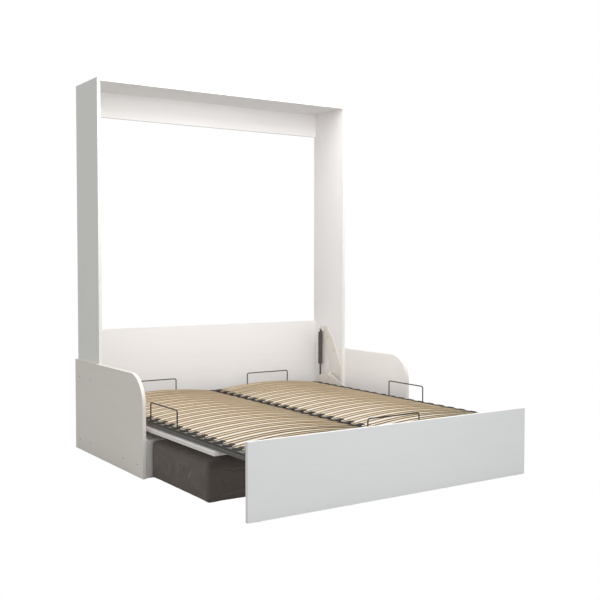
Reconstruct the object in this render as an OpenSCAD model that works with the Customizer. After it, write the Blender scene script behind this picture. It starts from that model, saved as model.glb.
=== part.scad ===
// Vertical wall bed with a sofa base: an open cabinet, a fold-down slatted bed,
// a self-levelling leg panel, gas struts, armrests, a base box and a seat block.
// X runs across the bed, +Y runs to the wall, +Z is up. The bed is drawn down.

/* [Cabinet] */
// Overall width of the cabinet across its side panels
cab_w = 1770; // [1760:1:1772]
// Depth of the cabinet from its front edges to the wall
cab_d = 347; // [340:1:450]
// Height of the cabinet
cab_h = 2200; // [2200:1:2400]
// Thickness of every laminated board
board_t = 19; // [16:1:22]
// Height of the header rail under the top panel
header_h = 155; // [100:1:250]
// Height of the lower back panel
back_h = 719; // [500:1:900]

/* [Armrests] */
// Height of each armrest
arm_h = 544; // [450:1:650]
// How far each armrest reaches in front of the cabinet
arm_reach = 658; // [650:1:800]
// Radius of the upper front corner of each armrest
arm_r = 157; // [60:1:200]

/* [Base box] */
// Height of the base box that carries the seat in sofa use
base_h = 200; // [150:1:205]
// How far the base box reaches in front of the cabinet
base_reach = 646; // [500:1:646]

/* [Bed frame] */
// Width of the steel frame over its side rails
frame_w = 1664; // [1600:1:1664]
// Distance from the cabinet front to the head end of the frame
frame_head = 281; // [270:1:290]
// Distance from the cabinet front to the foot end of the side rails
frame_foot = 1622; // [1600:1:1622]
// Width of the frame tubes
rail_w = 30; // [20:1:40]
// Height of the frame tubes
rail_h = 30; // [28:1:36]
// Wall of the frame tubes
rail_wall = 2; // [1.5:0.5:4]

/* [Slats] */
// Distance from one slat row to the next
slat_pitch = 89.6; // [85:0.2:89.6]
// Position of the slat row nearest the wall
slat_first = 212; // [205:1:220]
// Width of one slat
slat_w = 53; // [40:1:60]
// Thickness of one slat
slat_t = 8; // [6:0.5:12]
// Rise of the crowned slat from its ends to its middle
slat_rise = 30; // [10:0.5:40]

/* [Front boards] */
// Distance from the cabinet front to the foot end of the front board
front_foot = 1358; // [1200:1:1358]
// Distance from the cabinet front to the head end of the front board
front_head = 225; // [150:1:230]
// Height of the underside of the front board above the floor
front_bot = 241.5; // [241.5:0.5:243]
// Distance from the cabinet front to the outer face of the leg panel
leg_reach = 1665; // [1660:1:1665]
// How far the leg panel stands proud of the front board once the bed is up
leg_proud = 1.5; // [1:0.5:2]
// Height of the leg panel
leg_h = 355; // [340:1:356]
// Thickness of the glides under the leg panel and seat
glide_h = 2; // [2:0.5:6]
// Gap between the moving boards and the cabinet sides
side_gap = 7.5; // [7.5:0.5:10]

/* [Fold mechanism] */
// Distance of the main pivot behind the cabinet front
pivot_y = 110.5; // [109.5:0.5:111]
// Height of the main pivot
pivot_z = 350; // [349:0.5:350.5]
// Distance of each link pin behind its main or leg pivot
link_dy = 21; // [20:1:22]
// Height of each link pin above its main or leg pivot
link_dz = 19; // [18:1:20]
// Diameter of the main pivot pins
pivot_d = 16; // [12:1:20]
// Radial running clearance of every pin in its hole
run_c = 0.05; // [0.02:0.01:0.1]

/* [Gas struts] */
// Height of the fixed stud of each strut
strut_z = 657; // [640:1:660]
// Distance of the fixed stud behind the cabinet front
strut_y = 234.5; // [230:0.5:236]
// Distance of the moving stud behind the main pivot
strut_dy = 124; // [120:1:126]
// Height of the moving stud from the main pivot, negative when it is lower
strut_dz = -16; // [-16:1:-8]
// Diameter of the strut cylinder
strut_d = 30; // [20:1:30]
// Diameter of the strut rod
rod_d = 12; // [8:1:12]
// Length of the strut cylinder from its eye
strut_len = 237; // [230:1:240]

/* [Mattress stops] */
// Length of each wire stop
stop_len = 328; // [326:1:330]
// Height of the top of each wire stop above the floor
stop_top = 390; // [360:1:420]
// Diameter of the wire
wire_d = 7; // [5:0.5:10]

/* [Seat block] */
// Length of the seat block across the bed
seat_w = 1723; // [1400:1:1724]
// Depth of the seat block
seat_d = 648; // [500:1:648]
// Height of the seat block with its glides
seat_h = 200; // [150:1:205]
// Radius of the upholstered edges
seat_r = 26; // [10:1:40]

/* [Hidden] */
in_x = cab_w / 2 - board_t;
arm_x = cab_w / 2;
rail_x = frame_w / 2;
rail_in = rail_x - rail_w;
front_top = front_bot + board_t;
rail_z = front_top;
rail_top = rail_z + rail_h;
foot_bar_y = -frame_foot - 3;
move_x = in_x - side_gap;
screw_d = 7;
screw_side = [[273, arm_h - 101], [102, arm_h - 101], [273, 62], [102, 62]];
screw_base = [[-390, 64], [-584, 64]];
hanger_x = 700;
hanger_z = [2060, 2150, back_h - 60];
hanger_deep = 13;

leg_bot = glide_h;
leg_y = -leg_reach;
leg_in = leg_y + board_t;
inset = pivot_y + front_bot - pivot_z;
board_gap = 3;
q_sum = leg_bot - front_foot - board_gap;
q_dif = pivot_z - pivot_y + inset - leg_proud - leg_y;
leg_pz = (q_sum + q_dif) / 2;
leg_py = (q_sum - q_dif) / 2;
leg_pin_d = 10;
leg_plate_x = rail_x + 2;
leg_plate_t = 4;
leg_screw_x = leg_plate_x + 15;
leg_screw_z = [leg_pz + 36, leg_pz + 54];

plate_t = 4;
plate_x = in_x - plate_t;
plate_bolts_at = [[98, 526], [130, 316], [40, 317], [170, 612]];
bolt_head_t = 0.6;
arm_t = 4;
arm_bolts_y = [-60, 30, 180, 236];
arm_bolt_z = rail_z + rail_h / 2;

link_t = 4;
link_w = 16;
link_x = rail_x + arm_t + 4.5;
link_head_x = plate_x - 1 - link_t;
link_fy = pivot_y + link_dy;
link_fz = pivot_z + link_dz;
link_cy = leg_py + link_dy;
link_cz = leg_pz + link_dz;
link_rise_y = link_fy - 40;
link_step_y = link_fy - 75;
link_run_z = rail_z + 14;
link_pin_d = 8;

strut_x = plate_x - 18;
strut_eye = 14;
mov_y = pivot_y + strut_dy;
mov_z = pivot_z + strut_dz;
strut_dir = atan2(mov_y - strut_y, strut_z - mov_z);
strut_rest = sqrt(pow(mov_y - strut_y, 2) + pow(strut_z - mov_z, 2));
stud_d = 10;

beam_w = 24;

slat_rows = 20;
zone_rows = 4;
slat_out = rail_in - 5;
slat_in = beam_w / 2 + 3;
col_half = (slat_out + slat_in) / 2;
slat_z = rail_top - 5;
slat_chord = (slat_out - slat_in) / 2;
slat_big_r = (slat_chord * slat_chord + slat_rise * slat_rise) / (2 * slat_rise);
holder_l = 42;
holder_low = rail_top - 11;
holder_gap = 0.7;
board_screw_rows = [0.5, 4.5, 10.5, 15.5];
board_screw_d = 5;
board_screw_deep = 14;

stop_r = 12;
side_stop_x = rail_x - rail_w / 2;
side_stop_y = -728;
head_stop_x = 426;
seat_front = -base_reach - 2 - seat_d;

white = [0.93, 0.93, 0.92];
steel_dark = [0.27, 0.26, 0.25];
steel_grey = [0.76, 0.73, 0.71];
wire_col = [0.30, 0.26, 0.22];
holder_col = [0.12, 0.11, 0.11];
beech = [0.88, 0.77, 0.60];
strut_col = [0.35, 0.33, 0.31];
chrome = [0.78, 0.78, 0.78];
fabric = [0.33, 0.30, 0.28];

// Render node

// ---- helpers ----

// Box from its low corner to its high corner
module box(a, b) {
  translate(a)
    cube([b[0] - a[0], b[1] - a[1], b[2] - a[2]]);
}

// Cylinder along X from x0 to x1 at (y, z)
module rod_x(x0, x1, y, z, d, n = 48) {
  translate([min(x0, x1), y, z])
    rotate([0, 90, 0])
      cylinder(h = abs(x1 - x0), d = d, $fn = n);
}

// Cylinder along Y from y0 to y1 at (x, z)
module rod_y(y0, y1, x, z, d, n = 48) {
  translate([x, max(y0, y1), z])
    rotate([90, 0, 0])
      cylinder(h = abs(y1 - y0), d = d, $fn = n);
}

// Plate with its outline in the YZ plane, from x0 to x1
module plate_yz(x0, x1) {
  translate([x0, 0, 0])
    rotate([90, 0, 90])
      linear_extrude(height = x1 - x0)
        children();
}

// Rounded rectangle with true arcs at its corners
module round_rect(w, h, r) {
  translate([r, 0])
    square([w - 2 * r, h]);
  translate([0, r])
    square([w, h - 2 * r]);
  for (x = [r, w - r], y = [r, h - r])
    translate([x, y])
      circle(r = r, $fn = 48);
}

// Flat bar in the plane between two points
module strap(a, b, w) {
  d = b - a;
  translate(a)
    rotate(atan2(d[1], d[0]))
      translate([0, -w / 2])
        square([norm(d), w]);
}

module disc(p, r) {
  translate(p)
    circle(r = r, $fn = 48);
}

module at_right() {
  mirror([1, 0, 0])
    children();
}

// ---- cabinet ----

module side_panel() {
  difference() {
    box([-cab_w / 2, 0, 0], [-in_x, cab_d, cab_h]);
    for (p = screw_side)
      rod_x(-cab_w / 2 - 1, -in_x - 4, p[0], p[1], screw_d, 32);
  }
}

module side_panel_left() {
  color(white)
    side_panel();
}

module side_panel_right() {
  color(white)
    at_right()
      side_panel();
}

module top_panel() {
  color(white)
    box([-in_x, 0, cab_h - board_t], [in_x, cab_d, cab_h]);
}

// Blind holes in the rear face take the bolts of the wall hangers
module hanger_holes(z) {
  for (x = [-hanger_x, hanger_x])
    rod_y(cab_d + 1, cab_d - hanger_deep, x, z, 8, 32);
}

module header_rail() {
  color(white)
    difference() {
      box([-in_x, cab_d - board_t, cab_h - board_t - header_h], [in_x, cab_d, cab_h - board_t]);
      hanger_holes(hanger_z[0]);
      hanger_holes(hanger_z[1]);
    }
}

module back_panel() {
  color(white)
    difference() {
      box([-in_x, cab_d - board_t, 0], [in_x, cab_d, back_h]);
      hanger_holes(hanger_z[2]);
    }
}

// ---- armrests ----

module armrest() {
  difference() {
    plate_yz(-arm_x - board_t, -arm_x)
      union() {
        translate([-arm_reach, 0])
          square([arm_reach + cab_d, arm_h - arm_r]);
        translate([-arm_reach + arm_r, 0])
          square([arm_reach - arm_r + cab_d, arm_h]);
        translate([-arm_reach + arm_r, arm_h - arm_r])
          circle(r = arm_r, $fn = 128);
      }
    for (p = concat(screw_side, screw_base)) {
      rod_x(-arm_x - board_t - 1, -arm_x + 1, p[0], p[1], screw_d, 32);
      rod_x(-arm_x - board_t - 1, -arm_x - board_t + 3, p[0], p[1], 11, 32);
    }
  }
}

module armrest_left() {
  color(white)
    armrest();
}

module armrest_right() {
  color(white)
    at_right()
      armrest();
}

// Connecting screw with a flat head and a hexagon socket
module one_screw(y, z) {
  x0 = -arm_x - board_t;
  difference() {
    union() {
      rod_x(x0 + 0.8, x0 + 3, y, z, 10.6, 32);
      rod_x(x0 + 2.9, -in_x - 4.3, y, z, screw_d - 0.2, 32);
    }
    rod_x(x0, x0 + 2.6, y, z, 4.6, 6);
  }
}

module armrest_screws() {
  color(steel_grey)
    for (s = [0, 1])
      mirror([s, 0, 0])
        for (p = concat(screw_side, screw_base))
          one_screw(p[0], p[1]);
}

// ---- base box ----

module base_side() {
  difference() {
    box([-arm_x, -base_reach, 0], [-in_x, -3, base_h]);
    for (p = screw_base)
      rod_x(-arm_x - 1, -in_x - 4, p[0], p[1], screw_d, 32);
  }
}

module base_side_left() {
  color(white)
    base_side();
}

module base_side_right() {
  color(white)
    at_right()
      base_side();
}

module base_front() {
  color(white)
    box([-in_x, -base_reach, 0], [in_x, -base_reach + board_t, base_h - board_t]);
}

module base_rear() {
  color(white)
    box([-in_x, -board_t / 2, 0], [in_x, board_t / 2, base_h - board_t]);
}

module base_ribs() {
  color(white)
    for (x = [-in_x / 3, in_x / 3])
      box([x - board_t / 2, -base_reach + board_t, 0],
          [x + board_t / 2, -board_t / 2, base_h - board_t]);
}

module base_deck() {
  color(white)
    box([-in_x, -base_reach, base_h - board_t], [in_x, -3, base_h]);
}

// ---- side plates ----

// Outline of the plate: wide round the main pivot, narrowing up to the stud of the strut
module plate_outline() {
  front = 15;
  rear = 154;
  low = 262;
  top = strut_z + 33;
  head = strut_y + 27;
  polygon([[front, low], [rear, low], [rear, 450], [head, strut_z - 20], [head, top],
           [head - 86, top], [head - 94, strut_z + 16], [111, 612], [72, 534], [32, 450],
           [front, 424]]);
}

// Plate screwed to the cabinet side, with the main pivot, the link pin and the strut stud
module side_plate() {
  difference() {
    plate_yz(plate_x, in_x)
      plate_outline();
    for (p = plate_bolts_at)
      rod_x(plate_x - 1, in_x + 1, p[0], p[1], 6.4, 24);
  }
  rod_x(rail_x - 2, plate_x + 1, pivot_y, pivot_z, pivot_d, 64);
  rod_x(rail_x - 6, rail_x - 0.6, pivot_y, pivot_z, pivot_d + 8, 64);
  rod_x(rail_x + arm_t + 0.6, rail_x + arm_t + 4, pivot_y, pivot_z, pivot_d + 8, 64);
  rod_x(link_head_x - 2, plate_x + 1, link_fy, link_fz, link_pin_d, 48);
  rod_x(link_head_x - 4, link_head_x - 0.6, link_fy, link_fz, link_pin_d + 6, 48);
  rod_x(strut_x - 9, plate_x + 1, strut_y, strut_z, stud_d, 48);
  rod_x(strut_x + strut_eye / 2 + 0.6, plate_x + 1, strut_y, strut_z, stud_d + 8, 48);
  rod_x(strut_x - 10, strut_x - strut_eye / 2 - 0.6, strut_y, strut_z, stud_d + 5, 48);
}

module side_plate_right() {
  color(steel_grey)
    side_plate();
}

module side_plate_left() {
  color(steel_grey)
    at_right()
      side_plate();
}

// Thin flat bolt head with a hexagon socket, its shank in the plate on the cabinet side
module plate_bolt(y, z) {
  difference() {
    union() {
      rod_x(plate_x - bolt_head_t, plate_x, y, z, 13, 32);
      rod_x(plate_x - 0.1, in_x, y, z, 6, 24);
    }
    rod_x(plate_x - 1, in_x - 1, y, z, 4.6, 6);
  }
}

module plate_bolts() {
  color(chrome)
    for (s = [0, 1])
      mirror([s, 0, 0])
        for (p = plate_bolts_at)
          plate_bolt(p[0], p[1]);
}

// ---- gas struts ----

// Local frame of a strut: origin at the fixed stud, -Z along the strut
module strut_frame() {
  translate([strut_x, strut_y, strut_z])
    rotate([strut_dir, 0, 0])
      children();
}

module strut_cylinder() {
  neck = 12;
  strut_frame()
    difference() {
      union() {
        rod_x(-strut_eye / 2, strut_eye / 2, 0, 0, 22, 48);
        translate([0, 0, -neck - 4])
          cylinder(h = neck, d = 13, $fn = 32);
        translate([0, 0, -strut_len])
          cylinder(h = strut_len - neck, d = strut_d, $fn = 64);
      }
      rod_x(-strut_eye, strut_eye, 0, 0, stud_d + 2 * run_c, 48);
      translate([0, 0, -strut_len - 1])
        cylinder(h = strut_len - 31, d = rod_d + 2 * run_c, $fn = 32);
    }
}

// Piston rod with its eye and the pin beside the arm plate
module strut_rod() {
  strut_frame() {
    translate([0, 0, -strut_rest + 8])
      cylinder(h = strut_rest - 48, d = rod_d, $fn = 32);
    rod_x(-strut_eye / 2, strut_eye / 2, 0, -strut_rest, 22, 48);
    rod_x(rail_x + arm_t + 0.8 - strut_x, strut_eye / 2 + 2.5, 0, -strut_rest, stud_d, 48);
  }
}

module strut_cylinder_right() {
  color(strut_col)
    strut_cylinder();
}

module strut_cylinder_left() {
  color(strut_col)
    at_right()
      strut_cylinder();
}

module strut_rod_right() {
  color(chrome)
    strut_rod();
}

module strut_rod_left() {
  color(chrome)
    at_right()
      strut_rod();
}

// ---- bed frame ----

// Upright hole through both walls of a tube, or through its top wall only
module wall_hole(x, y, d, depth) {
  translate([x, y, rail_top - depth])
    cylinder(h = depth + 1, d = d, $fn = 32);
}

// Hollow rail with capped ends, an end lug for the leg pivot, holes for a wire stop
// and holes for the screws into the front board
module side_rail() {
  lug_r = 11.5;
  difference() {
    union() {
      difference() {
        box([rail_in, -frame_foot, rail_z], [rail_x, frame_head, rail_top]);
        box([rail_in + rail_wall, -frame_foot - 1, rail_z + rail_wall],
            [rail_x - rail_wall, frame_head + 1, rail_top - rail_wall]);
      }
      for (y = [-frame_foot, frame_head - 3])
        box([rail_in + 1, y, rail_z + 1], [rail_x - 1, y + 3, rail_top - 1]);
      rod_x(rail_in + 1, rail_x - 1, leg_py, leg_pz, 2 * lug_r, 64);
      box([rail_in + 1, leg_py, leg_pz - lug_r], [rail_x - 1, -frame_foot + 1, leg_pz + lug_r]);
    }
    rod_x(rail_in, rail_x + 1, leg_py, leg_pz, leg_pin_d + 2 * run_c, 48);
    for (s = [-1, 1])
      wall_hole(side_stop_x, side_stop_y + s * (stop_len - wire_d) / 2, wire_d + 0.4, rail_wall + 1);
    for (row = board_screw_rows)
      wall_hole(side_stop_x, slat_first - row * slat_pitch, board_screw_d + 0.4, rail_h + 1);
  }
}

module rail_right() {
  color(steel_dark)
    side_rail();
}

module rail_left() {
  color(steel_dark)
    at_right()
      side_rail();
}

// Hollow tube across the frame with two holes for a wire stop at each centre given
module cross_tube(y0, y1, centres) {
  x1 = rail_in;
  yc = (y0 + y1) / 2;
  difference() {
    box([-x1, y0, rail_z], [x1, y1, rail_top]);
    box([-x1 - 1, y0 + rail_wall, rail_z + rail_wall], [x1 + 1, y1 - rail_wall, rail_top - rail_wall]);
    for (c = centres, s = [-1, 1])
      wall_hole(c + s * (stop_len - wire_d) / 2, yc, wire_d + 0.4, rail_wall + 1);
  }
}

module head_bar() {
  color(steel_dark)
    cross_tube(frame_head - rail_w, frame_head, [-head_stop_x, head_stop_x]);
}

module foot_bar() {
  color(steel_dark)
    cross_tube(foot_bar_y, foot_bar_y + rail_w, [0]);
}

module centre_beam() {
  b = beam_w / 2;
  y0 = foot_bar_y + rail_w;
  y1 = frame_head - rail_w;
  color(steel_dark)
    difference() {
      box([-b, y0, rail_z], [b, y1, rail_top]);
      box([-b + rail_wall, y0 - 1, rail_z + rail_wall], [b - rail_wall, y1 + 1, rail_top - rail_wall]);
    }
}

module front_board() {
  color(white)
    difference() {
      box([-move_x, -front_foot, front_bot], [move_x, front_head, front_top]);
      for (s = [-1, 1], row = board_screw_rows)
        translate([s * side_stop_x, slat_first - row * slat_pitch, front_top - board_screw_deep])
          cylinder(h = board_screw_deep + 1, d = board_screw_d, $fn = 24);
    }
}

// Screws down through the side rails into the front board
module board_screws() {
  shank = rail_h + board_screw_deep - 1;
  color(chrome)
    for (s = [-1, 1], row = board_screw_rows)
      translate([s * side_stop_x, slat_first - row * slat_pitch, rail_top])
        difference() {
          union() {
            translate([0, 0, -shank])
              cylinder(h = shank + 0.1, d = board_screw_d - 0.2, $fn = 24);
            cylinder(h = 2, d = 10, $fn = 32);
          }
          translate([0, 0, 0.6])
            cylinder(h = 3, d = 4, $fn = 6);
        }
}

// Outline of the arm plate: a foot along the rail, a boss at the main pivot and a corner
// that carries the lower end of the strut
module arm_outline() {
  low = rail_z + 1;
  front = arm_bolts_y[0] - 14;
  rear = mov_y + 16;
  polygon([[front, low], [rear, low], [rear, mov_z], [rear - 9, mov_z + 8], [rear - 22, mov_z + 9],
           [pivot_y + 8, pivot_z + 21], [pivot_y - 12, pivot_z + 19], [front + 6, rail_top],
           [front, rail_top - 5]]);
  disc([pivot_y, pivot_z], 24);
}

// Plate bolted to the outside of the rail, with the bore for the main pivot
module arm_plate() {
  difference() {
    plate_yz(rail_x, rail_x + arm_t)
      arm_outline();
    rod_x(rail_x - 1, rail_x + arm_t + 1, pivot_y, pivot_z, pivot_d + 2 * run_c, 64);
    for (y = arm_bolts_y)
      rod_x(rail_x - 1, rail_x + arm_t + 1, y, arm_bolt_z, 8.4, 24);
  }
}

module arm_plate_right() {
  color(steel_grey)
    arm_plate();
}

module arm_plate_left() {
  color(steel_grey)
    at_right()
      arm_plate();
}

// Low bolt heads that hold the arm plates to the rails
module arm_bolts() {
  color(chrome)
    for (s = [0, 1])
      mirror([s, 0, 0])
        for (y = arm_bolts_y)
          difference() {
            union() {
              rod_x(rail_x, rail_x + arm_t + 1, y, arm_bolt_z, 8, 24);
              rod_x(rail_x + arm_t, rail_x + arm_t + 3, y, arm_bolt_z, 14, 32);
            }
            rod_x(rail_x + arm_t + 1, rail_x + arm_t + 4, y, arm_bolt_z, 5, 6);
          }
}

// ---- slats and holders ----

// One crowned slat of one column, centred on x = 0
module slat() {
  translate([0, slat_w / 2, slat_z + slat_rise - slat_big_r])
    rotate([90, 0, 0])
      intersection() {
        difference() {
          cylinder(h = slat_w, r = slat_big_r + slat_t, $fn = 360);
          translate([0, 0, -1])
            cylinder(h = slat_w + 2, r = slat_big_r, $fn = 360);
        }
        translate([-slat_chord, slat_big_r - slat_rise - 20, -1])
          cube([2 * slat_chord, slat_rise + slat_t + 40, slat_w + 2]);
      }
}

module slat_zone(zone) {
  color(beech)
    for (i = [zone * zone_rows : (zone + 1) * zone_rows - 1], s = [-1, 1])
      translate([s * col_half, slat_first - i * slat_pitch, 0])
        slat();
}

module slats_a() {
  slat_zone(0);
}

module slats_b() {
  slat_zone(1);
}

module slats_c() {
  slat_zone(2);
}

module slats_d() {
  slat_zone(3);
}

module slats_e() {
  slat_zone(4);
}

// Outline in the XZ plane swept along Y over the length of a holder
module holder_run() {
  translate([0, holder_l / 2, 0])
    rotate([90, 0, 0])
      linear_extrude(height = holder_l)
        children();
}

// Clip on a side rail: a lip over the rail and a jaw that grips the slat end
module end_holder() {
  mouth = rail_in - 22;
  holder_run()
    difference() {
      union() {
        polygon([[mouth, holder_low], [rail_in, holder_low], [rail_in, rail_top + 4],
                 [mouth, rail_top + 8.4]]);
        polygon([[rail_in - 1, rail_top], [rail_x - 3, rail_top], [rail_x - 3, rail_top + 2.5],
                 [rail_x - 5, rail_top + 4], [rail_in - 1, rail_top + 4]]);
      }
      polygon([[mouth - 1, slat_z - holder_gap], [slat_out + holder_gap, slat_z - holder_gap],
               [slat_out + holder_gap, rail_top + 3.7], [mouth - 1, rail_top + 6.5]]);
    }
}

// Double clip over the centre beam, with a jaw on each side
module mid_holder() {
  b = beam_w / 2 + 0.2;
  half = 37.5;
  holder_run()
    difference() {
      polygon([[-half, holder_low], [-b, holder_low], [-b, rail_top], [b, rail_top], [b, holder_low],
               [half, holder_low], [half, rail_top + 9.6], [0, rail_top + 5.5],
               [-half, rail_top + 9.6]]);
      for (s = [0, 1])
        mirror([s, 0])
          polygon([[slat_in - holder_gap, slat_z - holder_gap], [half + 1, slat_z - holder_gap],
                   [half + 1, rail_top + 7.4], [slat_in - holder_gap, rail_top + 3.7]]);
    }
}

module holders_right() {
  color(holder_col)
    for (i = [0 : slat_rows - 1])
      translate([0, slat_first - i * slat_pitch, 0])
        end_holder();
}

module holders_left() {
  color(holder_col)
    at_right()
      for (i = [0 : slat_rows - 1])
        translate([0, slat_first - i * slat_pitch, 0])
          end_holder();
}

module holders_centre() {
  color(holder_col)
    for (i = [0 : slat_rows - 1])
      translate([0, slat_first - i * slat_pitch, 0])
        mid_holder();
}

// ---- mattress stops ----

// Bent wire standing in the XZ plane, centred on x = 0, from z0 up to stop_top
module wire_stop(z0) {
  c = (stop_len - wire_d) / 2;
  zt = stop_top - wire_d / 2;
  for (s = [0, 1])
    mirror([s, 0, 0]) {
      translate([c, 0, z0])
        cylinder(h = zt - stop_r - z0, d = wire_d, $fn = 24);
      translate([c - stop_r, 0, zt - stop_r])
        rotate([90, 0, 0])
          rotate_extrude(angle = 90, $fn = 48)
            translate([stop_r, 0])
              circle(d = wire_d, $fn = 24);
    }
  rod_x(-c + stop_r, c - stop_r, 0, zt, wire_d, 24);
}

module stop_left() {
  color(wire_col)
    translate([-side_stop_x, side_stop_y, 0])
      rotate([0, 0, 90])
        wire_stop(rail_z + rail_wall);
}

module stop_right() {
  color(wire_col)
    translate([side_stop_x, side_stop_y, 0])
      rotate([0, 0, 90])
        wire_stop(rail_z + rail_wall);
}

module stop_head_left() {
  color(wire_col)
    translate([-head_stop_x, frame_head - rail_w / 2, 0])
      wire_stop(rail_z + rail_wall);
}

module stop_head_right() {
  color(wire_col)
    translate([head_stop_x, frame_head - rail_w / 2, 0])
      wire_stop(rail_z + rail_wall);
}

module stop_foot() {
  color(wire_col)
    translate([0, foot_bar_y + rail_w / 2, 0])
      wire_stop(rail_z + rail_wall);
}

// ---- leg panel ----

module leg_panel() {
  color(white)
    box([-move_x, leg_y, leg_bot], [move_x, leg_in, leg_bot + leg_h]);
}

// Bracket with the pin that turns in the rail lug and the pin of the link
module leg_bracket() {
  x0 = leg_plate_x;
  x1 = x0 + leg_plate_t;
  difference() {
    union() {
      plate_yz(x0, x1)
        union() {
          disc([leg_py, leg_pz], 12);
          disc([link_cy, link_cz], 10);
          polygon([[leg_in, leg_pz - 12], [leg_py, leg_pz - 12], [link_cy + 8, link_cz - 6],
                   [link_cy, link_cz + 10], [leg_in + 16, link_cz + 10], [leg_in + 4, leg_screw_z[1] + 8],
                   [leg_in, leg_screw_z[1] + 8]]);
        }
      box([x0, leg_in, leg_pz - 12], [x0 + 23, leg_in + 4, leg_screw_z[1] + 8]);
    }
    for (z = leg_screw_z)
      rod_y(leg_in - 1, leg_in + 5, leg_screw_x, z, 5.4, 24);
  }
  rod_x(rail_in + 3, x0 + 1, leg_py, leg_pz, leg_pin_d, 48);
  rod_x(rail_x - 0.4, x0 + 1, leg_py, leg_pz, leg_pin_d + 6, 48);
  rod_x(x1 - 1, link_x + link_t + 0.6, link_cy, link_cz, link_pin_d, 48);
  rod_x(link_x + link_t + 0.5, link_x + link_t + 3, link_cy, link_cz, link_pin_d + 4, 48);
  rod_x(x1 - 1, link_x - 0.6, link_cy, link_cz, link_pin_d + 5, 48);
}

module leg_bracket_right() {
  color(steel_grey)
    leg_bracket();
}

module leg_bracket_left() {
  color(steel_grey)
    at_right()
      leg_bracket();
}

module leg_screws() {
  color(chrome)
    for (s = [0, 1])
      mirror([s, 0, 0])
        for (z = leg_screw_z)
          difference() {
            union() {
              rod_y(leg_in + 4, leg_in, leg_screw_x, z, 5, 24);
              rod_y(leg_in + 6.5, leg_in + 4, leg_screw_x, z, 9, 32);
            }
            rod_y(leg_in + 8, leg_in + 5, leg_screw_x, z, 3.6, 6);
          }
}

// Glides under the leg panel
module leg_glides() {
  color(holder_col)
    for (x = [-move_x + 60, -300, 300, move_x - 60])
      translate([x, leg_y + board_t / 2, 0])
        cylinder(h = glide_h, d = 16, $fn = 32);
}

// ---- levelling links ----

// Flat bar beside the rail that steps outwards behind the cabinet front, with a short
// upright to its pin at each end
module link() {
  x0 = link_x;
  x1 = link_head_x;
  half = link_w / 2;
  toe = [link_cy, link_run_z];
  rise = [link_rise_y, link_run_z];
  corner = [link_rise_y, link_fz];
  difference() {
    union() {
      translate([0, 0, link_run_z - half])
        linear_extrude(height = link_w)
          polygon([[x0, link_cy], [x0 + link_t, link_cy], [x0 + link_t, link_step_y],
                   [x1 + link_t, link_rise_y - 6], [x1 + link_t, link_rise_y], [x1, link_rise_y],
                   [x1, link_rise_y - 5], [x0, link_step_y + 1]]);
      plate_yz(x0, x0 + link_t)
        union() {
          disc(toe, half);
          strap(toe, [link_cy, link_cz], link_w);
          disc([link_cy, link_cz], 9);
        }
      plate_yz(x1, x1 + link_t)
        union() {
          disc(rise, half);
          strap(rise, corner, link_w);
          disc(corner, half);
          strap(corner, [link_fy, link_fz], link_w);
          disc([link_fy, link_fz], 9);
        }
    }
    rod_x(x1 - 1, x1 + link_t + 1, link_fy, link_fz, link_pin_d + 2 * run_c, 48);
    rod_x(x0 - 1, x0 + link_t + 1, link_cy, link_cz, link_pin_d + 2 * run_c, 48);
  }
}

module link_right() {
  color(steel_dark)
    link();
}

module link_left() {
  color(steel_dark)
    at_right()
      link();
}

// ---- seat block ----

module seat_block() {
  r = seat_r;
  hz = seat_h - glide_h;
  color(fabric)
    intersection() {
      translate([-seat_w / 2, seat_front, glide_h])
        linear_extrude(height = hz)
          round_rect(seat_w, seat_d, r);
      translate([-seat_w / 2, seat_front + seat_d, glide_h])
        rotate([90, 0, 0])
          linear_extrude(height = seat_d)
            round_rect(seat_w, hz, r * 0.6);
      plate_yz(-seat_w / 2, seat_w / 2)
        translate([seat_front, glide_h])
          round_rect(seat_d, hz, r * 0.6);
    }
}

module seat_glides() {
  color(holder_col)
    for (x = [-seat_w / 2 + 90, 0, seat_w / 2 - 90], y = [seat_front + 80, seat_front + seat_d - 80])
      translate([x, y, 0])
        cylinder(h = glide_h, d = 40, $fn = 48);
}

// ---- nodes ----

side_panel_left();
side_panel_right();
top_panel();
header_rail();
back_panel();
armrest_left();
armrest_right();
armrest_screws();
base_side_left();
base_side_right();
base_front();
base_rear();
base_ribs();
base_deck();
side_plate_left();
side_plate_right();
plate_bolts();
strut_cylinder_left();
strut_rod_left();
strut_cylinder_right();
strut_rod_right();
rail_left();
rail_right();
head_bar();
foot_bar();
centre_beam();
front_board();
board_screws();
arm_plate_left();
arm_plate_right();
arm_bolts();
slats_a();
slats_b();
slats_c();
slats_d();
slats_e();
holders_left();
holders_right();
holders_centre();
stop_left();
stop_right();
stop_head_left();
stop_head_right();
stop_foot();
leg_panel();
leg_bracket_left();
leg_bracket_right();
leg_screws();
leg_glides();
link_left();
link_right();
seat_block();
seat_glides();
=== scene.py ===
"""The looks of the fold-down wall bed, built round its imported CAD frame. Metres, +Z up, +Y to the wall."""

import math
import random

import bmesh
import bpy
from mathutils import Matrix, Vector


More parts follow.
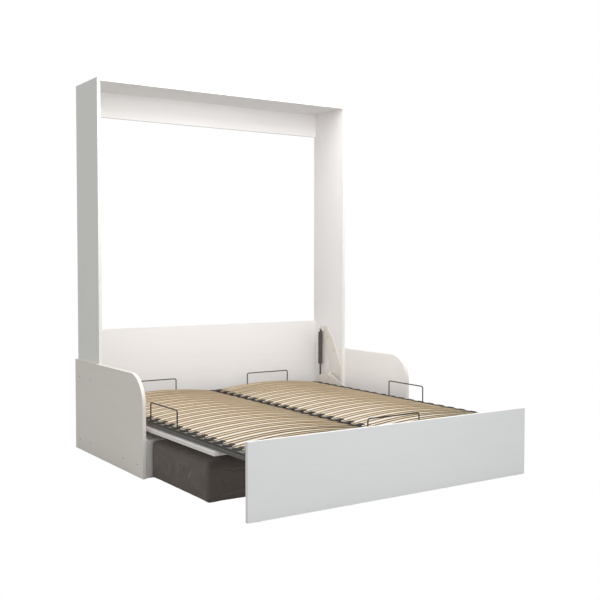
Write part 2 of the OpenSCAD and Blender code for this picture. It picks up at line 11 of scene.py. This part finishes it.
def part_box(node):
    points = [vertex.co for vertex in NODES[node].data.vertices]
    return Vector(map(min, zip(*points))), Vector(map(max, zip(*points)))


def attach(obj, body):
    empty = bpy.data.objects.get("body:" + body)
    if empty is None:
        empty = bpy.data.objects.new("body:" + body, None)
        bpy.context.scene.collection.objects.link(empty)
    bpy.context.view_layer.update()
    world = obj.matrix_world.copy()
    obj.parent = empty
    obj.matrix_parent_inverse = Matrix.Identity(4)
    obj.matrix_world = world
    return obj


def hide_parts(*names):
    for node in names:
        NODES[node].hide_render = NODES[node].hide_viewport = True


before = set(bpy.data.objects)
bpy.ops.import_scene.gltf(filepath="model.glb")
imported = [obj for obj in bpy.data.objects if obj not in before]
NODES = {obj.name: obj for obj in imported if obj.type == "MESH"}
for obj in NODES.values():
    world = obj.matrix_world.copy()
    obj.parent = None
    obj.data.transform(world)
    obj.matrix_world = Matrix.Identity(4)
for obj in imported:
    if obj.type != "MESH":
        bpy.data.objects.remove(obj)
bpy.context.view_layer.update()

random.seed(7)

SCENE = bpy.context.scene

# ---- camera, light and floor ----

EYE = Vector((-2.8267, -5.0422, 1.1304))
YAW = math.radians(33.54)
PITCH = math.radians(2.314)
ROLL = math.radians(0.048)
SENSOR_MM = 36
LENS_MM = 54.618


def add_camera():
    data = bpy.data.cameras.new("camera")
    data.sensor_width = SENSOR_MM
    data.lens = LENS_MM
    camera = bpy.data.objects.new("camera", data)
    SCENE.collection.objects.link(camera)
    heading = Matrix.Rotation(-YAW, 4, "Z")
    tilt = Matrix.Rotation(math.pi / 2 - PITCH, 4, "X")
    camera.matrix_world = Matrix.Translation(EYE) @ (heading @ tilt @ Matrix.Rotation(ROLL, 4, "Z"))
    SCENE.camera = camera


def add_soft_box(name, power, size, place, target, colour):
    """A rectangular lamp at one place that faces a target."""
    data = bpy.data.lights.new(name, "AREA")
    data.shape = "RECTANGLE"
    data.size, data.size_y = size
    data.energy = power
    data.color = colour
    light = bpy.data.objects.new(name, data)
    SCENE.collection.objects.link(light)
    light.location = place
    light.rotation_euler = (Vector(target) - Vector(place)).to_track_quat("-Z", "Y").to_euler()
    light.visible_camera = False


def add_world(seen, given):
    """A white backdrop that the camera sees at one strength and that lights the bed at another."""
    world = bpy.data.worlds.new("studio")
    SCENE.world = world
    world.use_nodes = True
    tree = world.node_tree
    tree.nodes.clear()
    out = tree.nodes.new("ShaderNodeOutputWorld")
    mix = tree.nodes.new("ShaderNodeMixShader")
    path = tree.nodes.new("ShaderNodeLightPath")
    back = tree.nodes.new("ShaderNodeBackground")
    fill = tree.nodes.new("ShaderNodeBackground")
    fill.inputs["Color"].default_value = (0.99, 0.995, 1.0, 1)
    fill.inputs["Strength"].default_value = given
    back.inputs["Color"].default_value = (1, 1, 1, 1)
    back.inputs["Strength"].default_value = seen
    tree.links.new(path.outputs["Is Camera Ray"], mix.inputs["Fac"])
    tree.links.new(fill.outputs["Background"], mix.inputs[1])
    tree.links.new(back.outputs["Background"], mix.inputs[2])
    tree.links.new(mix.outputs["Shader"], out.inputs["Surface"])


# ---- material helpers ----


class Shade:
    """A principled material with short calls for its nodes."""

    def __init__(self, name):
        self.material = bpy.data.materials.new(name)
        self.material.use_nodes = True
        self.tree = self.material.node_tree
        self.bsdf = self.tree.nodes["Principled BSDF"]
        self.place = self.tree.nodes.new("ShaderNodeTexCoord").outputs["Object"]

    def set(self, **values):
        for key, value in values.items():
            self.bsdf.inputs[key.replace("_", " ")].default_value = value
        return self

    def link(self, out, into):
        self.tree.links.new(out, into)

    def mapped(self, scale, source=None):
        node = self.tree.nodes.new("ShaderNodeMapping")
        node.inputs["Scale"].default_value = scale
        self.link(source or self.place, node.inputs["Vector"])
        return node.outputs["Vector"]

    def noise(self, vector, scale, detail=4, rough=0.5, distortion=0):
        node = self.tree.nodes.new("ShaderNodeTexNoise")
        node.inputs["Scale"].default_value = scale
        node.inputs["Detail"].default_value = detail
        node.inputs["Roughness"].default_value = rough
        node.inputs["Distortion"].default_value = distortion
        self.link(vector, node.inputs["Vector"])
        return node.outputs["Fac"]

    def wave(self, vector, scale, axis="X", distortion=0, detail=0):
        node = self.tree.nodes.new("ShaderNodeTexWave")
        node.bands_direction = axis
        node.inputs["Scale"].default_value = scale
        node.inputs["Distortion"].default_value = distortion
        node.inputs["Detail"].default_value = detail
        self.link(vector, node.inputs["Vector"])
        return node.outputs["Fac"]

    def attribute(self, name):
        node = self.tree.nodes.new("ShaderNodeAttribute")
        node.attribute_name = name
        return node.outputs["Fac"]

    def vector(self, **parts):
        """A vector from one value for each axis named, with zero for the others."""
        node = self.tree.nodes.new("ShaderNodeCombineXYZ")
        for axis, value in parts.items():
            self.link(value, node.inputs[axis])
        return node.outputs["Vector"]

    def math(self, kind, a, b):
        node = self.tree.nodes.new("ShaderNodeMath")
        node.operation = kind
        for value, socket in ((a, node.inputs[0]), (b, node.inputs[1])):
            if isinstance(value, (int, float)):
                socket.default_value = value
            else:
                self.link(value, socket)
        return node.outputs["Value"]

    def ramp(self, factor, stops):
        node = self.tree.nodes.new("ShaderNodeValToRGB")
        band = node.color_ramp
        band.elements[0].position, band.elements[0].color = stops[0][0], (*stops[0][1], 1)
        band.elements[1].position, band.elements[1].color = stops[-1][0], (*stops[-1][1], 1)
        for position, colour in stops[1:-1]:
            band.elements.new(position).color = (*colour, 1)
        self.link(factor, node.inputs["Fac"])
        return node.outputs["Color"]

    def blend(self, kind, factor, a, b):
        node = self.tree.nodes.new("ShaderNodeMix")
        node.data_type = "RGBA"
        node.blend_type = kind
        sockets = [s for s in node.inputs if s.type == "RGBA"]
        if isinstance(factor, (int, float)):
            node.inputs[0].default_value = factor
        else:
            self.link(factor, node.inputs[0])
        for value, socket in ((a, sockets[0]), (b, sockets[1])):
            if isinstance(value, tuple):
                socket.default_value = (*value, 1)
            else:
                self.link(value, socket)
        return [s for s in node.outputs if s.type == "RGBA"][0]

    def colour(self, out):
        self.link(out, self.bsdf.inputs["Base Color"])
        return self

    def rough(self, factor, low, high):
        node = self.tree.nodes.new("ShaderNodeMapRange")
        node.inputs["To Min"].default_value = low
        node.inputs["To Max"].default_value = high
        self.link(factor, node.inputs["Value"])
        self.link(node.outputs["Result"], self.bsdf.inputs["Roughness"])
        return self

    def bump(self, *layers):
        """Each layer is (height, distance in metres, strength)."""
        last = None
        for height, distance, strength in layers:
            node = self.tree.nodes.new("ShaderNodeBump")
            node.inputs["Distance"].default_value = distance
            node.inputs["Strength"].default_value = strength
            self.link(height, node.inputs["Height"])
            if last:
                self.link(last, node.inputs["Normal"])
            last = node.outputs["Normal"]
        self.link(last, self.bsdf.inputs["Normal"])
        return self


# ---- materials ----


def laminate(name, along, tint=(1.0, 1.0, 0.955)):
    """White melamine board with a faint wood grain that runs along one axis."""
    shade = Shade(name)
    stretch = [1.0 if axis == along else 26.0 for axis in "XYZ"]
    pores = [3.0 if axis == along else 190.0 for axis in "XYZ"]
    grain = shade.noise(shade.mapped(stretch), 2.2, 5, 0.6, 0.7)
    fine = shade.noise(shade.mapped(pores), 2.0, 3, 0.55)
    light = tuple(0.845 * c for c in tint)
    mid = tuple(0.835 * c for c in tint)
    dark = tuple(0.82 * c for c in tint)
    base = shade.ramp(grain, [(0.25, dark), (0.5, mid), (0.75, light)])
    cloud = shade.noise(shade.place, 1.3, 2)
    wash = shade.ramp(cloud, [(0.3, (0.985, 0.985, 0.98)), (0.7, (1.0, 1.0, 1.0))])
    shade.colour(shade.blend("MULTIPLY", 1.0, base, wash))
    shade.rough(fine, 0.40, 0.56)
    shade.set(Specular_IOR_Level=0.42)
    shade.bump((grain, 0.0002, 0.35), (fine, 0.00012, 0.4))
    return shade.material


def edge_band(name, tint):
    """Thin plastic edging, a touch smoother and warmer than the board's faces."""
    shade = Shade(name)
    speckle = shade.noise(shade.place, 60, 3)
    low = tuple(0.83 * c for c in tint)
    high = tuple(0.86 * c for c in tint)
    shade.colour(shade.ramp(speckle, [(0.3, low), (0.7, high)]))
    shade.rough(speckle, 0.34, 0.44)
    shade.bump((speckle, 0.0001, 0.25))
    return shade.material


def powder_coat(name, dark, light, low, high, metallic=0.0):
    """Painted steel with orange-peel texture and slightly uneven tone."""
    shade = Shade(name)
    peel = shade.noise(shade.place, 900, 2)
    patch = shade.noise(shade.place, 9, 4, 0.6)
    shade.colour(shade.ramp(patch, [(0.3, dark), (0.7, light)]))
    shade.rough(peel, low, high)
    shade.set(Metallic=metallic, Specular_IOR_Level=0.5)
    shade.bump((peel, 0.00012, 0.5), (patch, 0.0002, 0.15))
    return shade.material


def plated(name, dark, light, low, high):
    """Bright metal with fine turning marks."""
    shade = Shade(name)
    marks = shade.noise(shade.mapped((40.0, 40.0, 600.0)), 3, 3)
    shade.colour(shade.ramp(marks, [(0.3, dark), (0.7, light)]))
    shade.rough(marks, low, high)
    shade.set(Metallic=1.0)
    shade.bump((marks, 0.00005, 0.3))
    return shade.material


def moulded(name):
    """Black moulded plastic with a fine spark-eroded skin."""
    shade = Shade(name)
    skin = shade.noise(shade.place, 1400, 2)
    cloud = shade.noise(shade.place, 25, 3)
    shade.colour(shade.ramp(cloud, [(0.3, (0.014, 0.012, 0.010)), (0.7, (0.026, 0.022, 0.018))]))
    shade.rough(skin, 0.55, 0.72)
    shade.set(Specular_IOR_Level=0.25)
    shade.bump((skin, 0.0001, 0.6))
    return shade.material


def beech():
    """Lacquered bent beech plywood: long grain along X, flecks, and veneer stripes on the edges, partly the
    ply's own layers and partly painted shade that darkens the sides.
    """
    shade = Shade("beech_ply_look")
    tone = shade.attribute("tone")
    ply = shade.attribute("ply")
    shifted = shade.tree.nodes.new("ShaderNodeVectorMath")
    shifted.operation = "ADD"
    jump = shade.vector(X=shade.math("MULTIPLY", tone, 37.0), Y=shade.math("MULTIPLY", tone, 11.0))
    shade.link(shade.place, shifted.inputs[0])
    shade.link(jump, shifted.inputs[1])
    place = shifted.outputs["Vector"]
    grain = shade.noise(shade.mapped((1.4, 34.0, 10.0), place), 3.0, 6, 0.6, 1.2)
    fleck = shade.noise(shade.mapped((22.0, 420.0, 60.0), place), 3.0, 2, 0.5)
    board = shade.ramp(grain, [(0.22, (0.79, 0.65, 0.45)), (0.5, (0.86, 0.735, 0.54)),
                               (0.78, (0.90, 0.79, 0.60))])
    flecks = shade.ramp(fleck, [(0.34, (0.90, 0.85, 0.78)), (0.46, (1.0, 1.0, 1.0))])
    mixed = shade.blend("MULTIPLY", 0.75, board, flecks)
    cast = shade.ramp(tone, [(0.0, (0.95, 0.93, 0.90)), (0.5, (1.0, 0.99, 0.975)), (1.0, (1.02, 1.02, 1.02))])
    toned = shade.blend("MULTIPLY", 1.0, mixed, cast)
    # Painted shade: the veneer stripes darken the slat sides. This is partly the ply's own layers and partly
    # shade painted so the sides stay darker than the tops.
    layers = shade.wave(shade.vector(X=ply), 1.6)
    ply_stripes_and_shade = shade.ramp(layers, [(0.2, (0.60, 0.45, 0.30)), (0.55, (0.90, 0.79, 0.62))])
    side = shade.attribute("side")
    shade.colour(shade.blend("MIX", side, toned, shade.blend("MULTIPLY", 0.5, toned, ply_stripes_and_shade)))
    shade.rough(grain, 0.30, 0.46)
    shade.set(Specular_IOR_Level=0.5, Coat_Weight=0.12, Coat_Roughness=0.25)
    shade.bump((grain, 0.00025, 0.35), (fleck, 0.0001, 0.4))
    return shade.material


def upholstery():
    """Flat-woven brown-grey cover: crossed thread waves, slubs, soft fuzz and rubbed patches."""
    shade = Shade("seat_cover")
    warp, weft, rise = (shade.wave(shade.place, 330, axis, 1.2, 1) for axis in "XYZ")
    weave = shade.math("MULTIPLY", shade.math("MAXIMUM", warp, weft), rise)
    slub = shade.noise(shade.mapped((60, 60, 340)), 2.5, 4, 0.65)
    wear = shade.noise(shade.place, 5.5, 5, 0.62)
    threads = shade.ramp(weave, [(0.15, (0.092, 0.077, 0.069)), (0.7, (0.172, 0.148, 0.134))])
    fuzz = shade.ramp(slub, [(0.3, (0.82, 0.81, 0.80)), (0.7, (1.12, 1.11, 1.10))])
    rubbed = shade.ramp(wear, [(0.3, (0.90, 0.89, 0.88)), (0.7, (1.08, 1.07, 1.06))])
    shade.colour(shade.blend("MULTIPLY", 1.0, shade.blend("MULTIPLY", 1.0, threads, fuzz), rubbed))
    shade.rough(slub, 0.78, 0.95)
    shade.set(Sheen_Weight=0.5, Sheen_Roughness=0.45, Specular_IOR_Level=0.2)
    shade.bsdf.inputs["Sheen Tint"].default_value = (0.62, 0.55, 0.50, 1)
    shade.bump((weave, 0.0006, 0.5), (slub, 0.0006, 0.35), (wear, 0.002, 0.2))
    return shade.material


def floor_paint():
    """White studio floor: shadowless to the eye, and a soft grey bounce for the light."""
    shade = Shade("floor_paint")
    cloud = shade.noise(shade.place, 0.7, 2)
    shade.colour(shade.ramp(cloud, [(0.3, (0.45, 0.45, 0.45)), (0.7, (0.47, 0.47, 0.47))]))
    shade.rough(cloud, 0.75, 0.85)
    shade.set(Specular_IOR_Level=0.1)
    glow = shade.tree.nodes.new("ShaderNodeEmission")
    path = shade.tree.nodes.new("ShaderNodeLightPath")
    mix = shade.tree.nodes.new("ShaderNodeMixShader")
    shade.link(path.outputs["Is Camera Ray"], mix.inputs["Fac"])
    shade.link(shade.bsdf.outputs["BSDF"], mix.inputs[1])
    shade.link(glow.outputs["Emission"], mix.inputs[2])
    shade.link(mix.outputs["Shader"], shade.tree.nodes["Material Output"].inputs["Surface"])
    return shade.material


MAT = {
    "outer_z": laminate("outer_board", "Z"),
    "board_z": laminate("white_board_upright", "Z", (1.0, 0.975, 0.97)),
    "board_x": laminate("white_board_across", "X", (1.0, 0.98, 0.975)),
    "board_y": laminate("white_board_deep", "Y", (1.0, 0.975, 0.965)),
    "leg_x": laminate("leg_panel_board", "X", (0.99, 1.0, 1.01)),
    "arm_y": laminate("armrest_board", "Y", (1.0, 0.945, 0.875)),
    "edge": edge_band("edge_band", (1.0, 0.99, 0.955)),
    "warm_edge": edge_band("warm_edge_band", (1.0, 0.945, 0.88)),
    "dark_steel": powder_coat("dark_steel_look", (0.105, 0.097, 0.083), (0.130, 0.120, 0.105), 0.42, 0.60),
    "grey_steel": powder_coat("grey_steel_look", (0.70, 0.66, 0.615), (0.75, 0.705, 0.66), 0.36, 0.50),
    "strut": powder_coat("strut_look", (0.075, 0.065, 0.058), (0.095, 0.084, 0.075), 0.22, 0.36),
    "wire": powder_coat("bronze_wire_look", (0.040, 0.031, 0.024), (0.062, 0.050, 0.040), 0.30, 0.46, 0.35),
    "bright": plated("bright_steel_look", (0.55, 0.55, 0.56), (0.72, 0.72, 0.72), 0.16, 0.34),
    "plastic": moulded("black_plastic_look"),
    "beech": beech(),
    "cover": upholstery(),
}

# ---- CAD nodes that stay, with bevelled edges and their materials ----


def dress(name, *materials, bevel=0.0, segments=2, pick=None):
    """Gives a CAD node its materials and softens its edges. pick(face) chooses a slot for a face."""
    node = NODES[name]
    node.data.materials.clear()
    for material in materials:
        node.data.materials.append(material)
    for face in node.data.polygons:
        face.material_index = pick(face) if pick else 0
    if bevel:
        soften = node.modifiers.new("edges", "BEVEL")
        soften.width = bevel
        soften.segments = segments
        soften.limit_method = "ANGLE"
        soften.angle_limit = math.radians(35)
        soften.harden_normals = True


def thin(axis):
    """Slot 1, the edge band, for every face that isn't one of the board's two large faces."""
    return lambda face: 0 if abs(face.normal["XYZ".index(axis)]) > 0.9 else 1


BOARD_EDGE = 0.0008
BOARDS = {
    "side_panel_left": ("outer_z", "X"),
    "side_panel_right": ("board_z", "X"),
    "top_panel": ("board_x", "Z"),
    "header_rail": ("board_x", "Y"),
    "back_panel": ("board_x", "Y"),
    "armrest_left": ("arm_y", "X"),
    "armrest_right": ("board_y", "X"),
    "base_side_left": ("board_y", "X"),
    "base_side_right": ("board_y", "X"),
    "base_front": ("board_x", "Y"),
    "base_rear": ("board_x", "Y"),
    "base_ribs": ("board_y", "X"),
    "base_deck": ("board_x", "Z"),
    "front_board": ("board_x", "Z"),
    "leg_panel": ("leg_x", "Y"),
}
WARM_EDGES = ("armrest_left", "armrest_right", "front_board")
for board, (grain, across) in BOARDS.items():
    band = MAT["warm_edge"] if board in WARM_EDGES else MAT["edge"]
    dress(board, MAT[grain], band, bevel=BOARD_EDGE, pick=thin(across))

for name in ("rail_left", "rail_right", "head_bar", "foot_bar", "centre_beam"):
    dress(name, MAT["dark_steel"], bevel=0.0012, segments=3)
# The light head of a link starts behind the cabinet front
LINK_HEAD_Y = 0.03
for name in ("link_left", "link_right"):
    dress(name, MAT["dark_steel"], MAT["grey_steel"], bevel=0.0006,
          pick=lambda face: 1 if face.center.y > LINK_HEAD_Y else 0)
for name in ("side_plate_left", "side_plate_right", "arm_plate_left", "arm_plate_right"):
    dress(name, MAT["grey_steel"], bevel=0.0006)
for name in ("leg_bracket_left", "leg_bracket_right"):
    dress(name, MAT["dark_steel"], bevel=0.0006)
for name in ("armrest_screws", "plate_bolts", "board_screws", "arm_bolts", "leg_screws"):
    dress(name, MAT["bright"], bevel=0.0002)
for name in ("strut_cylinder_left", "strut_cylinder_right", "strut_rod_left", "strut_rod_right"):
    dress(name, MAT["strut"], bevel=0.0004)
for name in ("stop_left", "stop_right", "stop_head_left", "stop_head_right", "stop_foot"):
    dress(name, MAT["wire"])
for name in ("holders_left", "holders_right", "holders_centre"):
    dress(name, MAT["plastic"], bevel=0.0004)
dress("seat_glides", MAT["plastic"], bevel=0.0004)
dress("leg_glides", MAT["edge"], bevel=0.0004)

# ---- slats ----

SLAT_THICK = 0.008
SLAT_ARC_STEPS = 28
SLAT_EDGE_R = 0.0028
SLAT_EDGE_STEPS = 4
SLAT_END_TRIM = 0.0008
SLAT_RISE_EXTRA = 0.0003
SLAT_PLIES = 5
RUN_GAP = 0.02


def slat_outline(width, thick):
    """Points (y, z, side) round the rounded cross-section of a slat, z from its underside."""
    points = []
    r = SLAT_EDGE_R
    corners = ((width / 2 - r, thick - r, 0), (-width / 2 + r, thick - r, 90),
               (-width / 2 + r, r, 180), (width / 2 - r, r, 270))
    for cy, cz, start in corners:
        for step in range(SLAT_EDGE_STEPS + 1):
            turn = math.radians(start + 90 * step / SLAT_EDGE_STEPS)
            points.append((cy + r * math.cos(turn), cz + r * math.sin(turn), abs(math.cos(turn)) ** 2))
    return points


def add_slat(mesh, layers, centre_x, centre_y, low_z, half, width, thick, rise, tone):
    """One crowned slat, swept along its arc."""
    radius = (half * half + rise * rise) / (2 * rise)
    reach = math.asin(half / radius)
    outline = slat_outline(width, thick)
    rings = []
    for step in range(SLAT_ARC_STEPS + 1):
        turn = reach * (2 * step / SLAT_ARC_STEPS - 1)
        ring = []
        for y, z, side in outline:
            x = centre_x + (radius + z) * math.sin(turn)
            up = low_z + rise - radius + (radius + z) * math.cos(turn)
            vert = mesh.verts.new((x, centre_y + y, up))
            vert[layers["tone"]] = tone
            vert[layers["ply"]] = z / thick * SLAT_PLIES
            vert[layers["side"]] = side
            ring.append(vert)
        rings.append(ring)
    count = len(outline)
    for a, b in zip(rings, rings[1:]):
        for k in range(count):
            mesh.faces.new((a[k], b[k], b[(k + 1) % count], a[(k + 1) % count]))
    mesh.faces.new(rings[0])
    mesh.faces.new(list(reversed(rings[-1])))


def runs(node, axis, gap):
    """Groups of a node's vertices along one axis, from low to high, split at every step over gap."""
    values = sorted({round(v.co[axis], 5) for v in NODES[node].data.vertices})
    stretches = [[values[0], values[0]]]
    for value in values[1:]:
        if value - stretches[-1][1] > gap:
            stretches.append([value, value])
        stretches[-1][1] = value
    return stretches


def make_slats(node):
    """Builds the slats of one node.

    Known fault: a slat has vertices only on its front and back faces, which are further apart than
    RUN_GAP. Each run is then one face, and every slat comes out as two thin strips.
    """
    low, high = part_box(node)
    inner = min(abs(v.co.x) for v in NODES[node].data.vertices)
    middle = (inner + high.x) / 2
    half = (high.x - inner) / 2 - SLAT_END_TRIM
    mesh = bmesh.new()
    layers = {key: mesh.verts.layers.float.new(key) for key in ("tone", "ply", "side")}
    rise = high.z - low.z - SLAT_THICK + SLAT_RISE_EXTRA
    for front, back in runs(node, 1, RUN_GAP):
        for x in (-middle, middle):
            add_slat(mesh, layers, x, (front + back) / 2, low.z, half, back - front,
                     SLAT_THICK, rise, random.random())
    bmesh.ops.recalc_face_normals(mesh, faces=mesh.faces)
    data = bpy.data.meshes.new(node + "_look")
    mesh.to_mesh(data)
    mesh.free()
    data.polygons.foreach_set("use_smooth", [True] * len(data.polygons))
    piece = bpy.data.objects.new(node + "_look", data)
    SCENE.collection.objects.link(piece)
    data.materials.append(MAT["beech"])
    data.set_sharp_from_angle(angle=math.radians(50))
    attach(piece, "bed")
    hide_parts(node)


for letter in "abcde":
    make_slats("slats_" + letter)

# ---- seat block ----

SEAT_VOXEL = 0.010
SEAT_SHRINK = 0.003
SEAT_RADIUS = 0.014
SEAT_PRESSURE = 3.0
SEAT_CAP = 0.0050
SEAT_FRAMES = 20
SEAM_DROP = 0.030
SEAM_REACH = 0.03
SEAM_DEPTH = 0.0022
SEAM_HALF_WIDTH = 0.006


def rounded_block(low, high, radius, name):
    """A closed block with rounded edges, made from a bevelled box."""
    mesh = bmesh.new()
    bmesh.ops.create_cube(mesh, size=1)
    size = high - low
    for vert in mesh.verts:
        vert.co = Vector(low + Vector([(vert.co[k] + 0.5) * size[k] for k in range(3)]))
    bmesh.ops.bevel(mesh, geom=mesh.edges[:], offset=radius, segments=5, profile=0.5, affect="EDGES")
    data = bpy.data.meshes.new(name)
    mesh.to_mesh(data)
    mesh.free()
    piece = bpy.data.objects.new(name, data)
    SCENE.collection.objects.link(piece)
    return piece


def apply_modifiers(piece):
    graph = bpy.context.evaluated_depsgraph_get()
    graph.update()
    data = bpy.data.meshes.new_from_object(piece.evaluated_get(graph))
    piece.modifiers.clear()
    piece.data = data


def inflate(piece, pressure, cap):
    """Cloth with inner pressure, then no point further than cap from where it began."""
    start = [v.co.copy() for v in piece.data.vertices]
    cloth = piece.modifiers.new("cloth", "CLOTH")
    settings = cloth.settings
    settings.use_pressure = True
    settings.uniform_pressure_force = pressure
    settings.quality = 4
    settings.tension_stiffness = 25
    settings.compression_stiffness = 25
    settings.bending_stiffness = 4
    settings.effector_weights.gravity = 0
    for step in range(1, SEAT_FRAMES + 1):
        SCENE.frame_set(step)
    apply_modifiers(piece)
    SCENE.frame_set(1)
    for vert, home in zip(piece.data.vertices, start):
        move = vert.co - home
        if move.length > cap:
            vert.co = home + move * (cap / move.length)


def sew_seam(piece, low, high):
    """Presses in the stitched seam that runs round the block below its top edge."""
    middle = (low + high) / 2
    for vert in piece.data.vertices:
        co = vert.co
        from_end = min(co.x - low.x, high.x - co.x)
        from_face = min(co.y - low.y, high.y - co.y)
        if min(from_end, from_face) > SEAM_REACH:
            continue
        away = abs(co.z - (high.z - SEAM_DROP))
        dent = SEAM_DEPTH * math.exp(-((away / SEAM_HALF_WIDTH) ** 2))
        if from_end < from_face:
            vert.co.x = co.x + math.copysign(dent, middle.x - co.x)
        else:
            vert.co.y = co.y + math.copysign(dent, middle.y - co.y)


def make_seat():
    low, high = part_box("seat_block")
    inset = Vector((SEAT_SHRINK,) * 3)
    start_low = low + inset
    start_high = high - inset
    start_low.z = low.z + 0.001
    piece = rounded_block(start_low, start_high, SEAT_RADIUS, "seat_block_look")
    remesh = piece.modifiers.new("remesh", "REMESH")
    remesh.mode = "VOXEL"
    remesh.voxel_size = SEAT_VOXEL
    apply_modifiers(piece)
    inflate(piece, SEAT_PRESSURE, SEAT_CAP)
    for vert in piece.data.vertices:
        vert.co.z = max(vert.co.z, low.z + 0.0005)
    rounder = piece.modifiers.new("round", "SUBSURF")
    rounder.levels = 1
    rounder.render_levels = 1
    apply_modifiers(piece)
    sew_seam(piece, low, high)
    piece.data.polygons.foreach_set("use_smooth", [True] * len(piece.data.polygons))
    piece.data.materials.clear()
    piece.data.materials.append(MAT["cover"])
    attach(piece, "seat")
    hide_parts("seat_block")


make_seat()

# ---- studio ----

FLOOR_HALF = 30
FLOOR_DROP = 0.0005
BACKDROP_SEEN = 1.0
BACKDROP_GIVEN = 0.70


def add_floor():
    mesh = bmesh.new()
    bmesh.ops.create_grid(mesh, x_segments=8, y_segments=8, size=FLOOR_HALF)
    data = bpy.data.meshes.new("floor")
    mesh.to_mesh(data)
    mesh.free()
    floor = bpy.data.objects.new("floor", data)
    SCENE.collection.objects.link(floor)
    floor.location = (0, 0, -FLOOR_DROP)
    data.materials.append(floor_paint())


SCENE.view_settings.view_transform = "Standard"
add_camera()
add_world(BACKDROP_SEEN, BACKDROP_GIVEN)
add_soft_box("key", 36, (1.6, 1.6), (-0.3, -3.2, 2.8), (0.1, 0.0, 0.6), (1.0, 0.99, 0.97))
add_soft_box("overhead", 34, (1.6, 2.0), (0.0, -0.9, 2.7), (0.0, -0.9, 0.0), (1.0, 0.99, 0.97))
add_soft_box("header_fill", 5, (1.2, 0.5), (0.0, -0.9, 2.05), (0.0, 0.3, 2.1), (1.0, 0.99, 0.98))
add_floor()
